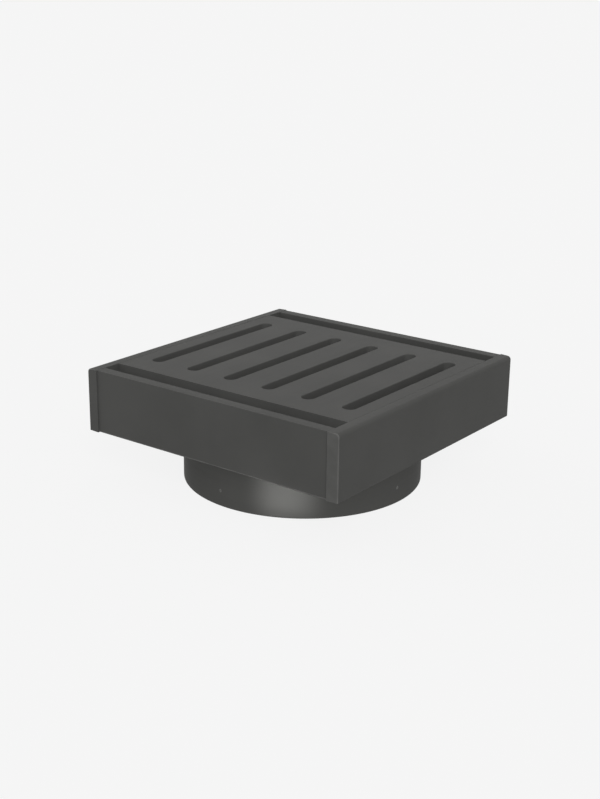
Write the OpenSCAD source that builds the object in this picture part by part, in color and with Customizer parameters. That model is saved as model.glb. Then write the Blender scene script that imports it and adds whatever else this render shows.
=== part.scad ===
// Square floor drain: a slotted lift-out grate in a square frame, over a round outlet
// spigot that holds a hair strainer and a drop-in odour seal with a sprung valve.
// The frame stands on the end of its spigot: the origin is the centre of that end, +Z is up,
// X runs across the slots and Y along them. Sizes are in millimetres.

/* [Frame] */
// Outer side of the square frame
frame_w = 100; // [92:1:160]
// Height of the frame above the spigot
frame_h = 21.2; // [17.5:0.1:40]
// Thickness of the left and right walls
side_wall_t = 4; // [3:0.1:6]
// Radius along the outer top edge of the left and right walls
edge_round = 1.2; // [0.5:0.1:2.5]
// Thickness of the front and back walls
end_wall_t = 3.6; // [2:0.1:5]
// How far the front and back walls sit behind the ends of the side walls
end_wall_recess = 0.5; // [0.4:0.1:1.4]
// Thickness of the floor plate
floor_t = 1.5; // [1.4:0.1:3]

/* [Outlet spigot] */
// Outer diameter of the spigot
spigot_od = 80; // [66:1:82]
// Wall of the spigot
spigot_wall = 2.5; // [1.5:0.1:4]
// Length of the spigot below the floor plate
spigot_h = 17.8; // [16:0.1:60]
// Diameter of the stop pins that carry the odour seal
pin_d = 1.6; // [1.2:0.1:2.4]
// Height of the stop pins' axes above the end of the spigot
pin_z = 5.3; // [4:0.1:8]
// How far a stop pin stands into the bore
pin_reach = 2.2; // [1.5:0.1:2.6]
// Turn of the first stop pin from the middle of the front, in degrees
pin_turn = -3.6; // [-20:0.1:20]

/* [Grate] */
// Thickness of the grate plate
grate_t = 4; // [3:0.1:6]
// Gap between the grate and each side wall
grate_side_gap = 0.1; // [0.1:0.05:0.5]
// Width of the open channel in front of and behind the grate
channel_w = 6.3; // [4.5:0.1:10]
// Number of slots
slot_count = 6; // [2:1:8]
// Distance from one slot to the next
slot_pitch = 15.4; // [8:0.1:16]
// Width of a slot
slot_w = 4.5; // [2:0.1:6]
// Length of a slot, with its round ends
slot_l = 61; // [20:1:64]

/* [Grate rests] */
// Thickness of a rest lug
lug_t = 2; // [1.5:0.1:3]
// How far a rest lug stands in from its side wall
lug_reach = 9; // [8:0.5:11]
// Width of a rest lug along the side wall
lug_w = 8; // [7:0.5:9]
// Height of the leg that is welded to the side wall
lug_leg_h = 6; // [4:0.5:8]
// Diameter of the studs that locate the grate
stud_d = 4; // [3:0.1:4.5]
// Length of a stud below the grate plate
stud_l = 5.5; // [4.5:0.1:7]
// Thickness of the rubber buffers under the grate
buffer_t = 1.5; // [1:0.1:2]

/* [Hair strainer] */
// Thickness of the strainer's sheet
strainer_t = 0.8; // [0.5:0.1:1.2]
// How far the strainer's rim reaches past the bore
rim_reach = 4.5; // [2:0.1:5]
// Diameter of a strainer hole
hole_d = 3.4; // [2:0.1:4]
// Number of slots round the strainer's wall
wall_slots = 20; // [8:1:28]
// Diameter of the strainer's knob
knob_d = 12; // [9:0.5:16]
// Height of the strainer's knob
knob_h = 2.8; // [2:0.1:4]

/* [Odour seal] */
// Wall of the seal housing
housing_wall = 3.6; // [3.4:0.1:5]
// Width of the flat seat that the valve closes against
seat_w = 7.5; // [5:0.1:10]
// Thickness of the seat
seat_t = 2; // [1.5:0.1:3]
// Diameter of an O-ring's section
o_ring_d = 2.2; // [1.6:0.1:2.4]
// Diameter of the valve stem
stem_d = 4; // [3:0.1:5]
// Thickness of the valve disc
disc_t = 2; // [1.5:0.1:2.5]
// Thickness of the valve gasket
gasket_t = 1.2; // [0.8:0.1:1.6]
// How far the valve drops to open
valve_travel = 5; // [2:0.1:5]
// Diameter of the return spring's wire
spring_wire = 0.8; // [0.4:0.1:1]

/* [Hidden] */
$fn = 72;
nudge = 0.01;             // overlap between shapes that are fused, and past faces that are cut
run_gap = 0.05;           // gap between parts that slide, rest on or fit into one another
lift_gap = 0.4;           // gap round what drops into the bore
pin_seat_gap = 0.2;       // gap between the stop pins and the seal housing
collar = 0.5;             // how far the spigot steps out where it passes the floor plate

half_w = frame_w / 2;
inner_half = half_w - side_wall_t;
end_face = half_w - end_wall_recess;
end_inner = end_face - end_wall_t;
floor_bottom = spigot_h;
floor_top = floor_bottom + floor_t;
top_z = floor_bottom + frame_h;
bore_r = spigot_od / 2 - spigot_wall;

grate_w = 2 * (inner_half - grate_side_gap);
grate_l = 2 * (end_inner - channel_w);
grate_bottom = top_z - grate_t;
lug_top = grate_bottom - buffer_t;
lug_setback = 0.4;        // from the grate's front or back edge to the lug's side
stud_x = inner_half - lug_reach / 2 - 0.5;
stud_y = grate_l / 2 - lug_setback - lug_w / 2;
stud_clearance = 0.5;
stud_point = 0.8;
buffer_d = stud_d + 4.5;

skirt_h = 2;              // the strainer's locating skirt, below its rim
strainer_r = bore_r - 3.5;
knob_clearance = 1.4;     // between the knob and the grate
strainer_top_z = grate_bottom - knob_clearance - knob_h;
strainer_bend = 0.4;      // inside the edge of the strainer's top
strainer_round = strainer_t + strainer_bend;
strainer_edge = 3;        // plain border round the holes in the top
rim_bottom = floor_top + run_gap;
shoulder_z = strainer_top_z - strainer_round;
ring_gap = 6.5;           // between one ring of holes and the next
hole_spacing = 1.9;       // along a ring, as a multiple of the hole's diameter
screw_d = 3;
screw_head_d = 5.6;
screw_head_h = 1;

housing_r = bore_r - lift_gap;
housing_inner_r = housing_r - housing_wall;
housing_bottom = pin_z + pin_d / 2 + pin_seat_gap;
housing_top = floor_top - skirt_h - 2 * lift_gap;
seat_bottom = housing_bottom + gasket_t + disc_t + 0.1;
groove_w = o_ring_d + 0.2;
o_ring_r = bore_r - run_gap - o_ring_d / 2;
groove_r = o_ring_r - o_ring_d / 2 - run_gap;
groove_margin = 1.2;
hub_r = 5.5;
hub_top = housing_top - 1.5;
hub_bottom = seat_bottom + 0.4;
arm_w = 3;
bush_r = 3.5;
bush_flange_t = 1;
disc_r = housing_inner_r - 2.5;
gasket_margin = 0.5;      // from the gasket's rim to the disc's
gasket_inner_r = housing_inner_r - seat_w - 2;
disc_top = seat_bottom - run_gap - gasket_t;
disc_bottom = disc_top - disc_t;
stem_head_t = 0.8;
stem_top = strainer_top_z - strainer_t - screw_head_h - 1;
clip_t = 0.6;
clip_z = stem_top - 1.4;
cap_t = 2;
cap_r = 5.2;
cap_bottom = clip_z - run_gap - cap_t;
spring_bottom = hub_top + bush_flange_t;
spring_r = 3.9;
spring_l = cap_bottom - spring_bottom;
spring_turns = max(2, floor((spring_l - valve_travel) / spring_wire));

LUGS = [for (y = [-1, 1], x = [-1, 1]) [x, y]];
PIN_ANGLES = [for (i = [0 : 3]) pin_turn + 90 * i];

GUNMETAL = "#4b4b49";
TURNED_METAL = "#5c5c5a";
STAINLESS = "#b4b4b0";
RUBBER = "#1e1e1e";
PLASTIC = "#2f3133";

// A rectangle with round ends, centred, its length along Y.
module round_slot(width, length) {
    square([width, length - width], center = true);
    for (side = [-1, 1])
        translate([0, side * (length - width) / 2]) circle(d = width);
}

// A rectangle from the axis out to radius r and up to h, with a round outer top corner.
module round_shoulder(r, h, corner) {
    square([r, h - corner]);
    square([r - corner, h]);
    translate([r - corner, h - corner]) circle(r = corner);
}

module ring(outer_r, inner_r, height) {
    difference() {
        cylinder(r = outer_r, h = height);
        translate([0, 0, -nudge]) cylinder(r = inner_r, h = height + 2 * nudge);
    }
}

// A right-hand wall; the left one is its mirror image.
module side_wall() {
    color(GUNMETAL)
        translate([inner_half, half_w, floor_bottom]) rotate([90, 0, 0])
            linear_extrude(frame_w) round_shoulder(side_wall_t, frame_h, edge_round);
}

// A back wall; the front one is its mirror image.
module end_wall() {
    color(GUNMETAL)
        translate([-inner_half, end_inner, floor_bottom])
            cube([2 * inner_half, end_wall_t, frame_h]);
}

// The floor between the four walls, round the spigot.
module floor_plate() {
    color(GUNMETAL) translate([0, 0, floor_bottom]) linear_extrude(floor_t) difference() {
        square([2 * inner_half, 2 * end_inner], center = true);
        circle(r = spigot_od / 2 + collar + run_gap);
    }
}

// The spigot stands up through the floor plate, flush with its upper face.
module outlet_spigot() {
    lead_in = 0.6;
    outer_r = spigot_od / 2;
    color(TURNED_METAL) difference() {
        rotate_extrude() polygon([
            [bore_r + lead_in / 2, 0], [outer_r - lead_in, 0], [outer_r, lead_in],
            [outer_r, spigot_h], [outer_r + collar, spigot_h], [outer_r + collar, floor_top],
            [bore_r, floor_top], [bore_r, lead_in / 2]]);
        for (angle = PIN_ANGLES) rotate([0, 0, angle])
            translate([0, -outer_r - 1, pin_z]) rotate([-90, 0, 0])
                cylinder(d = pin_d + 2 * run_gap, h = spigot_wall + 2);
    }
}

// Mirrors what is modelled in the +X, +Y quarter into the quarter that side = [x, y] names.
module in_quarter(side) {
    mirror([side[0] < 0 ? 1 : 0, 0, 0]) mirror([0, side[1] < 0 ? 1 : 0, 0]) children();
}

// An angle bracket with its leg against a side wall and a hole for the grate's stud.
module rest_lug(side) {
    color(GUNMETAL) in_quarter(side) difference() {
        translate([inner_half - lug_reach, stud_y - lug_w / 2, lug_top - lug_leg_h]) difference() {
            cube([lug_reach, lug_w, lug_leg_h]);
            translate([-nudge, -nudge, -nudge])
                cube([lug_reach - lug_t + nudge, lug_w + 2 * nudge, lug_leg_h - lug_t + nudge]);
        }
        translate([stud_x, stud_y, lug_top - lug_t - nudge])
            cylinder(d = stud_d + 2 * stud_clearance, h = lug_t + 2 * nudge);
    }
}

// A pin pressed through the spigot's wall, flush outside and standing into the bore.
module stop_pin(angle) {
    flush_depth = 0.1;
    color(STAINLESS) rotate([0, 0, angle]) intersection() {
        translate([0, -spigot_od / 2 - 1, pin_z]) rotate([-90, 0, 0])
            cylinder(d = pin_d, h = 1 + spigot_wall + pin_reach);
        cylinder(r = spigot_od / 2 - flush_depth, h = spigot_h);
    }
}

module grate_plate() {
    color(GUNMETAL) translate([0, 0, grate_bottom]) linear_extrude(grate_t) difference() {
        square([grate_w, grate_l], center = true);
        for (i = [0 : slot_count - 1])
            translate([(i - (slot_count - 1) / 2) * slot_pitch, 0]) round_slot(slot_w, slot_l);
    }
}

module locating_stud(side) {
    color(STAINLESS) translate([side[0] * stud_x, side[1] * stud_y, grate_bottom - stud_l]) {
        cylinder(d1 = stud_d - 2 * stud_point, d2 = stud_d, h = stud_point);
        translate([0, 0, stud_point - nudge])
            cylinder(d = stud_d, h = stud_l - stud_point + nudge);
    }
}

module rubber_buffer(side) {
    color(RUBBER) translate([side[0] * stud_x, side[1] * stud_y, lug_top + run_gap])
        ring(buffer_d / 2, stud_d / 2 + run_gap, buffer_t - run_gap);
}

// The strainer's flat rim, with a skirt that centres it in the bore.
module strainer_rim() {
    color(STAINLESS) rotate_extrude() {
        translate([strainer_r - strainer_t, rim_bottom])
            square([bore_r + rim_reach - strainer_r + strainer_t, strainer_t]);
        translate([housing_r - strainer_t, rim_bottom - skirt_h])
            square([strainer_t, skirt_h + nudge]);
    }
}

// The slotted band that stands on the rim.
module strainer_wall() {
    margin = 1.3;
    slot_h = shoulder_z - rim_bottom - strainer_t - 2 * margin;
    color(STAINLESS) difference() {
        translate([0, 0, rim_bottom + strainer_t])
            ring(strainer_r, strainer_r - strainer_t, shoulder_z - rim_bottom - strainer_t);
        for (i = [0 : wall_slots - 1]) rotate([0, 0, i * 360 / wall_slots])
            translate([strainer_r + 1, 0, shoulder_z - margin - slot_h / 2]) rotate([0, -90, 0])
                linear_extrude(strainer_t + 3) rotate([0, 0, 90]) round_slot(hole_d * 0.8, slot_h);
    }
}

// The punched top with its rounded edge.
module strainer_top() {
    first_ring = knob_d / 2 + 5;
    rings = floor((strainer_r - strainer_edge - hole_d / 2 - first_ring) / ring_gap) + 1;
    color(STAINLESS) difference() {
        translate([0, 0, shoulder_z]) rotate_extrude() difference() {
            intersection() {
                translate([0, -strainer_round])
                    round_shoulder(strainer_r, 2 * strainer_round, strainer_round);
                square([strainer_r, strainer_round]);
            }
            translate([-nudge, -strainer_bend])
                round_shoulder(strainer_r - strainer_t + nudge, 2 * strainer_bend, strainer_bend);
        }
        for (k = [0 : rings - 1]) {
            ring_r = first_ring + k * ring_gap;
            holes = floor(2 * PI * ring_r / (hole_d * hole_spacing));
            for (i = [0 : holes - 1]) rotate([0, 0, i * 360 / holes])
                translate([ring_r, 0, shoulder_z - 1])
                    cylinder(d = hole_d, h = strainer_round + 2);
        }
        translate([0, 0, shoulder_z - 1])
            cylinder(d = screw_d + 2 * run_gap, h = strainer_round + 2);
    }
}

module strainer_knob() {
    neck_h = knob_h * 0.45;
    neck_r = knob_d * 0.28;
    crown = knob_h * 0.25;
    color(STAINLESS) translate([0, 0, strainer_top_z]) difference() {
        rotate_extrude() {
            square([neck_r, knob_h]);
            translate([0, neck_h]) round_shoulder(knob_d / 2, knob_h - neck_h, crown);
        }
        translate([0, 0, -nudge]) cylinder(d = screw_d + 2 * run_gap, h = knob_h - 0.7);
    }
}

module knob_screw() {
    thread_l = strainer_t + knob_h - 1;
    color(STAINLESS) translate([0, 0, strainer_top_z - strainer_t - screw_head_h]) difference() {
        union() {
            cylinder(d = screw_head_d, h = screw_head_h);
            cylinder(d = screw_d, h = screw_head_h + thread_l);
        }
        translate([0, 0, -nudge]) cylinder(d = 2, h = screw_head_h * 0.6, $fn = 6);
    }
}

// A ring that fills the bore, with two grooves for the O-rings.
module seal_housing() {
    color(PLASTIC) difference() {
        translate([0, 0, housing_bottom])
            ring(housing_r, housing_inner_r, housing_top - housing_bottom);
        for (z = [lower_groove_z(), upper_groove_z()])
            translate([0, 0, z - groove_w / 2]) ring(housing_r + 1, groove_r, groove_w);
    }
}

// The flat ring that the valve closes against, fitted into the housing.
module valve_seat() {
    color(PLASTIC) translate([0, 0, seat_bottom])
        ring(housing_inner_r - run_gap, housing_inner_r - seat_w, seat_t);
}

// Four arms on the seat and a hub for the valve stem's bush.
module guide_spider() {
    arm_bottom = seat_bottom + seat_t + run_gap;
    color(PLASTIC) difference() {
        union() {
            for (angle = [45 : 90 : 315]) rotate([0, 0, angle])
                translate([hub_r - 1, -arm_w / 2, arm_bottom])
                    cube([housing_inner_r - 2 * run_gap - hub_r + 1, arm_w, hub_top - arm_bottom]);
            translate([0, 0, hub_bottom]) cylinder(r = hub_r, h = hub_top - hub_bottom);
        }
        translate([0, 0, hub_bottom - nudge])
            cylinder(r = bush_r + run_gap, h = hub_top - hub_bottom + 2 * nudge);
    }
}

function lower_groove_z() = housing_bottom + groove_margin + groove_w / 2;
function upper_groove_z() = housing_top - groove_margin - groove_w / 2;

module o_ring(z) {
    color(RUBBER) translate([0, 0, z]) rotate_extrude()
        translate([o_ring_r, 0]) circle(d = o_ring_d);
}

module guide_bush() {
    flange_r = hub_r - 0.5;
    color("#d8d4c4") difference() {
        union() {
            translate([0, 0, hub_bottom]) cylinder(r = bush_r, h = hub_top - hub_bottom + nudge);
            translate([0, 0, hub_top]) cylinder(r = flange_r, h = bush_flange_t);
        }
        translate([0, 0, hub_bottom - 1])
            cylinder(d = stem_d + 2 * run_gap, h = hub_top - hub_bottom + bush_flange_t + 2);
    }
}

// A coil swept as rings of points along a helix, from the bush's flange to the spring cap.
module return_spring() {
    sides = 8;
    steps = spring_turns * 14;
    wire_r = spring_wire / 2;
    start_z = spring_bottom + wire_r + run_gap;
    rise = spring_l - spring_wire - 2 * run_gap;
    points = [for (s = [0 : steps], k = [0 : sides - 1])
        let (turn = s * 360 * spring_turns / steps, around = k * 360 / sides,
             r = spring_r + wire_r * cos(around))
        [r * cos(turn), r * sin(turn), start_z + rise * s / steps + wire_r * sin(around)]];
    walls = [for (s = [0 : steps - 1], k = [0 : sides - 1])
        let (a = s * sides + k, b = s * sides + (k + 1) % sides)
        [a, b, b + sides, a + sides]];
    ends = [[for (k = [sides - 1 : -1 : 0]) k], [for (k = [0 : sides - 1]) steps * sides + k]];
    color(STAINLESS) polyhedron(points, concat(walls, ends));
}

module valve_disc() {
    boss_h = 0.9;
    color(PLASTIC) translate([0, 0, disc_bottom]) difference() {
        union() {
            cylinder(r = disc_r, h = disc_t);
            cylinder(r = hub_r - 0.5, h = disc_t + boss_h);
        }
        translate([0, 0, -nudge]) cylinder(d = stem_d + 2 * run_gap, h = disc_t + boss_h + 1);
    }
}

module valve_gasket() {
    color(RUBBER) translate([0, 0, disc_top])
        ring(disc_r - gasket_margin, gasket_inner_r, gasket_t);
}

module valve_stem() {
    head_r = stem_d / 2 + 2;
    color(STAINLESS) translate([0, 0, disc_bottom - stem_head_t]) difference() {
        union() {
            cylinder(r = head_r, h = stem_head_t);
            cylinder(d = stem_d, h = stem_top - disc_bottom + stem_head_t);
        }
        translate([0, 0, clip_z - disc_bottom + stem_head_t])
            ring(stem_d, stem_d / 2 - 0.5, clip_t + 2 * run_gap);
    }
}

module spring_cap() {
    color(PLASTIC) translate([0, 0, cap_bottom]) ring(cap_r, stem_d / 2 + run_gap, cap_t);
}

// A snap ring in the stem's groove, open on one side.
module stem_clip() {
    color(STAINLESS) translate([0, 0, clip_z + run_gap]) difference() {
        ring(stem_d / 2 + 1.6, stem_d / 2 - 0.5 + run_gap, clip_t);
        translate([0, -stem_d * 0.3, -nudge]) cube([stem_d * 2, stem_d * 0.6, clip_t + 1]);
    }
}

mirror([1, 0, 0]) side_wall();  // left_wall
side_wall();  // right_wall
mirror([0, 1, 0]) end_wall();  // front_wall
end_wall();  // back_wall
floor_plate();
outlet_spigot();
for (i = [0 : 3]) {
    rest_lug(LUGS[i]);
    stop_pin(PIN_ANGLES[i]);
    locating_stud(LUGS[i]);
    rubber_buffer(LUGS[i]);
}
grate_plate();
strainer_rim();
strainer_wall();
strainer_top();
strainer_knob();
knob_screw();
seal_housing();
valve_seat();
guide_spider();
o_ring(upper_groove_z());  // upper_o_ring
o_ring(lower_groove_z());  // lower_o_ring
guide_bush();
return_spring();
valve_disc();
valve_gasket();
valve_stem();
spring_cap();
stem_clip();
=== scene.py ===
"""Square floor drain: the surfaces of every piece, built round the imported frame.

The frame gives each piece its place and size. The classes below model the pieces with soft edges,
give them their finishes, and set up a pale floor, soft light and the camera. Lengths are in metres.
"""

from __future__ import annotations

import logging
import math
from dataclasses import dataclass, field
from enum import Enum
from typing import Callable, Iterable, Sequence

import bmesh
import bpy
from bmesh.types import BMEdge, BMesh, BMFace
from bpy.types import Material, NodeSocket, NodeTree, Object, ShaderNodeTree
from mathutils import Matrix, Vector


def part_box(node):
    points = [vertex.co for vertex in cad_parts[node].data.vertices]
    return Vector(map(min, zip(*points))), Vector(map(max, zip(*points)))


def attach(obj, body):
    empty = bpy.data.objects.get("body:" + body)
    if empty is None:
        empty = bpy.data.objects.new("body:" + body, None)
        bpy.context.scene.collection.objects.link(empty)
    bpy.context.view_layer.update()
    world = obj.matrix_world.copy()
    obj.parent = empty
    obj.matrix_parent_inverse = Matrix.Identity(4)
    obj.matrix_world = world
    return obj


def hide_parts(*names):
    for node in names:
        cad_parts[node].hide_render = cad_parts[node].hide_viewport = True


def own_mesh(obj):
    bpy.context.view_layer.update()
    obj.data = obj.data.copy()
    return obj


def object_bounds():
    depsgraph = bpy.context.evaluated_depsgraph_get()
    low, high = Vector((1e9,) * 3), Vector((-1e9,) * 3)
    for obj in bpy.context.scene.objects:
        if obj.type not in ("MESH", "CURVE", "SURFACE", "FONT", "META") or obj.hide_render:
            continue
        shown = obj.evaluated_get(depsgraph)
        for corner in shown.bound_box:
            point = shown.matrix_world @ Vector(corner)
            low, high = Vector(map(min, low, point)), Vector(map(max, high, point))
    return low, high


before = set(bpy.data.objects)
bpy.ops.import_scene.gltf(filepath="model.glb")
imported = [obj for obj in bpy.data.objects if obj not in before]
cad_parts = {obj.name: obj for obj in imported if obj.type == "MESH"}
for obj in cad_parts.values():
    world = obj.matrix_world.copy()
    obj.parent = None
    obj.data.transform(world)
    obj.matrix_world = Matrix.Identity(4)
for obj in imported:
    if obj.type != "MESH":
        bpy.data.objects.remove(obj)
CAD_LOW, CAD_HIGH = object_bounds()

MM = 0.001
EDGE_LAYER = "edge"
ROUND_STEPS = 144
LOG = logging.getLogger("floor_drain")

Profile = Sequence[tuple[float, float]]
Colour = tuple[float, float, float]


# ---------------------------------------------------------------------------------------------
# Mesh making
# ---------------------------------------------------------------------------------------------


def new_mesh() -> BMesh:
    """Returns an empty bmesh with the face layer that marks rounded edges."""
    bm = bmesh.new()
    bm.faces.layers.float.new(EDGE_LAYER)
    return bm


def block(low: Vector, high: Vector) -> BMesh:
    """Makes a rectangular block.

    Args:
        low: Its lowest corner.
        high: Its highest corner.

    Returns:
        The block's bmesh.
    """
    bm = new_mesh()
    bmesh.ops.create_cube(bm, size=1.0)
    bmesh.ops.scale(bm, vec=high - low, verts=bm.verts)
    bmesh.ops.translate(bm, vec=(low + high) / 2, verts=bm.verts)
    return bm


def lathe(profile: Profile, closed: bool = True, steps: int = ROUND_STEPS) -> BMesh:
    """Turns a profile about the Z axis.

    Args:
        profile: Points as (radius, height).
        closed: True joins the last point to the first, as in a ring's section.
        steps: How many steps make the full turn.

    Returns:
        The turned bmesh.
    """
    bm = new_mesh()
    verts = [bm.verts.new((radius, 0.0, height)) for radius, height in profile]
    followers = verts[1:] + (verts[:1] if closed else [])
    edges = [bm.edges.new(pair) for pair in zip(verts, followers)]
    bmesh.ops.spin(bm, geom=verts + edges, cent=(0, 0, 0), axis=(0, 0, 1), angle=math.tau,
                   steps=steps, use_merge=True)
    bmesh.ops.remove_doubles(bm, verts=bm.verts, dist=1e-6)
    bmesh.ops.recalc_face_normals(bm, faces=bm.faces)
    return bm


def plate(outline: Profile, holes: Sequence[Profile], bottom: float, top: float) -> BMesh:
    """Makes a flat plate with holes right through it.

    Args:
        outline: The plate's outer corners as (x, y), in order.
        holes: The corners of each hole, in order.
        bottom: Height of the lower face.
        top: Height of the upper face.

    Returns:
        The plate's bmesh.
    """
    bm = new_mesh()
    edges = []
    for loop in [outline, *holes]:
        verts = [bm.verts.new((x, y, top)) for x, y in loop]
        edges += [bm.edges.new(pair) for pair in zip(verts, verts[1:] + verts[:1])]
    bmesh.ops.triangle_fill(bm, use_beauty=True, use_dissolve=False, edges=edges)
    lower = bmesh.ops.extrude_face_region(bm, geom=bm.faces[:])["geom"]
    moved = [item for item in lower if isinstance(item, bmesh.types.BMVert)]
    bmesh.ops.translate(bm, vec=(0, 0, bottom - top), verts=moved)
    bmesh.ops.recalc_face_normals(bm, faces=bm.faces)
    return bm


def circle_points(radius: float, steps: int = ROUND_STEPS) -> Profile:
    """Returns the corners of a many-sided circle about the origin."""
    turns = [math.tau * step / steps for step in range(steps)]
    return [(radius * math.cos(turn), radius * math.sin(turn)) for turn in turns]


def rectangle_points(low: Vector, high: Vector) -> Profile:
    """Returns the four corners of a box seen from above."""
    return [(low.x, low.y), (high.x, low.y), (high.x, high.y), (low.x, high.y)]


def slot_points(centre_x: float, width: float, length: float, steps: int = 20) -> Profile:
    """Returns the outline of a slot with round ends that runs along Y.

    Args:
        centre_x: Where the slot's middle line lies.
        width: Its width, which is the ends' diameter.
        length: Its length over the round ends.
        steps: How many steps make each round end.

    Returns:
        The outline as (x, y) points.
    """
    reach = (length - width) / 2
    points = []
    for side in (1, -1):
        for step in range(steps + 1):
            turn = math.pi * step / steps
            points.append((centre_x + side * math.cos(turn) * width / 2,
                           side * (reach + math.sin(turn) * width / 2)))
    return points


def bevel(bm: BMesh, edges: Sequence[BMEdge], width: float, segments: int,
          lighten_share: float = 1.0) -> None:
    """Rounds some edges and marks the new faces in the edge layer.

    Args:
        bm: The mesh to change.
        edges: The edges to round.
        width: How far the round reaches from each edge.
        segments: How many faces make the round.
        lighten_share: How much of the round takes the lighter worn colour, which is wear and, on
            some edges, a painted highlight.
    """
    layer = bm.faces.layers.float[EDGE_LAYER]
    made = bmesh.ops.bevel(bm, geom=list(edges), offset=width, offset_type="OFFSET",
                           segments=segments, profile=0.5, affect="EDGES", material=-1,
                           clamp_overlap=True)
    for face in made["faces"]:
        face[layer] = lighten_share


def soften(bm: BMesh, width: float, segments: int = 3, sharper_than: float = 35.0,
           lighten_share: float = 1.0) -> None:
    """Rounds every edge whose faces meet at more than an angle.

    Args:
        bm: The mesh to change.
        width: How far the round reaches from the edge.
        segments: How many faces make the round.
        sharper_than: The angle in degrees.
        lighten_share: How much of the round takes the lighter worn colour, which is wear and, on
            some edges, a painted highlight.
    """
    limit = math.radians(sharper_than)
    sharp = [edge for edge in bm.edges if edge.is_manifold and edge.calc_face_angle(0.0) > limit]
    bevel(bm, sharp, width, segments, lighten_share)


def lighten_faces(bm: BMesh, faces: Iterable[BMFace], amount: float) -> None:
    """Gives whole faces the lighter worn colour, as wear and as painted highlight, and leaves those
    that have more as they are.
    """
    layer = bm.faces.layers.float[EDGE_LAYER]
    for face in faces:
        face[layer] = max(face[layer], amount)


def edges_where(bm: BMesh, test: Callable[[Vector], bool]) -> list[BMEdge]:
    """Returns the edges whose two ends both pass a test of their place."""
    return [edge for edge in bm.edges if all(test(vert.co) for vert in edge.verts)]


def level(first: float, second: float) -> bool:
    """Returns True where two lengths are the same to a micrometre."""
    return abs(first - second) < 1e-6


def keep_inside(bm: BMesh, low: Vector, high: Vector) -> None:
    """Trims what a round pushed past a box's faces."""
    for vert in bm.verts:
        vert.co = [min(max(value, least), most)
                   for value, least, most in zip(vert.co, low, high)]


def merged_copy(node: str) -> BMesh:
    """Copies a frame node's mesh, with its triangles joined and its flat faces made whole."""
    bm = bmesh.new()
    bm.from_mesh(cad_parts[node].data)
    bm.faces.layers.float.new(EDGE_LAYER)
    bmesh.ops.remove_doubles(bm, verts=bm.verts, dist=2e-6)
    bmesh.ops.dissolve_limit(bm, angle_limit=math.radians(0.5), verts=bm.verts, edges=bm.edges)
    return bm


# ---------------------------------------------------------------------------------------------
# Finishes
# ---------------------------------------------------------------------------------------------


class Texture(Enum):
    """How a finish's fine marks lie on the surface."""

    SPRAYED = "sprayed"
    TURNED = "turned"
    BRUSHED = "brushed"
    MOULDED = "moulded"


@dataclass(frozen=True)
class Finish:
    """One surface finish.

    Attributes:
        slot: The record's material slot.
        colour: Linear colour of the sound surface.
        worn_and_lit: Linear colour where the edges are rubbed; on some edges and faces it is a
            painted highlight.
        texture: How the fine marks lie.
        metallic: 1 for bare metal, 0 for a covered or non-metal surface.
        roughness: Mean roughness.
        roughness_spread: How far the roughness drifts to either side.
        specular: Strength of the plain reflection.
        edge_tint: How strongly the surface mirrors at a glancing angle.
        grain_size: Size of one fine mark.
        grain_depth: Depth of the fine marks.
        mottle: How far the colour drifts over the surface, as a share.
        wear_and_highlight: How strongly the marked edges and faces take the lighter colour, as wear
            and as painted highlight.
        dust: How much pale dust lies on faces that look up.
    """

    slot: str
    colour: Colour
    worn_and_lit: Colour
    texture: Texture
    metallic: float
    roughness: float
    roughness_spread: float = 0.04
    specular: float = 0.5
    edge_tint: float = 1.0
    grain_size: float = 0.4 * MM
    grain_depth: float = 0.006 * MM
    mottle: float = 0.06
    wear_and_highlight: float = 0.4
    dust: float = 0.0


# The lighter colour on its marked edges and faces is wear, and also a painted highlight along
# rounded edges.
GUNMETAL = Finish("coated_steel", (0.089, 0.089, 0.0855), (0.180, 0.180, 0.174), Texture.SPRAYED,
                  metallic=0.0, roughness=0.58, specular=0.08, wear_and_highlight=1.0, dust=0.03)
GRATE_GUNMETAL = Finish("coated_grate", (0.090, 0.090, 0.0865), (0.125, 0.125, 0.12),
                        Texture.BRUSHED, metallic=0.0, roughness=0.58, specular=0.08,
                        grain_size=0.25 * MM, grain_depth=0.003 * MM, dust=0.03)
SPIGOT_GUNMETAL = Finish("coated_spigot", (0.082, 0.082, 0.0785), (0.12, 0.12, 0.115),
                         Texture.TURNED, metallic=0.85, roughness=0.54, roughness_spread=0.03,
                         specular=0.08, edge_tint=0.55, grain_size=0.3 * MM,
                         grain_depth=0.002 * MM, mottle=0.04)
STAINLESS = Finish("stainless", (0.42, 0.41, 0.39), (0.55, 0.54, 0.52), Texture.TURNED,
                   metallic=1.0, roughness=0.27, grain_size=0.15 * MM, grain_depth=0.002 * MM)
STAINLESS_SHEET = Finish("stainless_sheet", (0.46, 0.45, 0.43), (0.58, 0.57, 0.55),
                         Texture.TURNED, metallic=1.0, roughness=0.31, grain_size=0.2 * MM,
                         grain_depth=0.002 * MM, wear_and_highlight=0.0)
SPRING_STEEL = Finish("spring_steel", (0.36, 0.36, 0.35), (0.45, 0.45, 0.44), Texture.SPRAYED,
                      metallic=1.0, roughness=0.24, grain_size=0.1 * MM, grain_depth=0.001 * MM,
                      wear_and_highlight=0.0)
RUBBER = Finish("black_rubber", (0.017, 0.017, 0.017), (0.035, 0.035, 0.034), Texture.MOULDED,
                metallic=0.0, roughness=0.72, grain_size=0.15 * MM, grain_depth=0.006 * MM,
                wear_and_highlight=0.2)
BLACK_PLASTIC = Finish("black_plastic", (0.024, 0.025, 0.027), (0.05, 0.05, 0.052),
                       Texture.MOULDED, metallic=0.0, roughness=0.42, grain_size=0.3 * MM,
                       grain_depth=0.005 * MM, wear_and_highlight=0.3)
ACETAL = Finish("bush_plastic", (0.68, 0.65, 0.56), (0.74, 0.71, 0.63), Texture.TURNED,
                metallic=0.0, roughness=0.38, grain_size=0.2 * MM, grain_depth=0.003 * MM)


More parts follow.
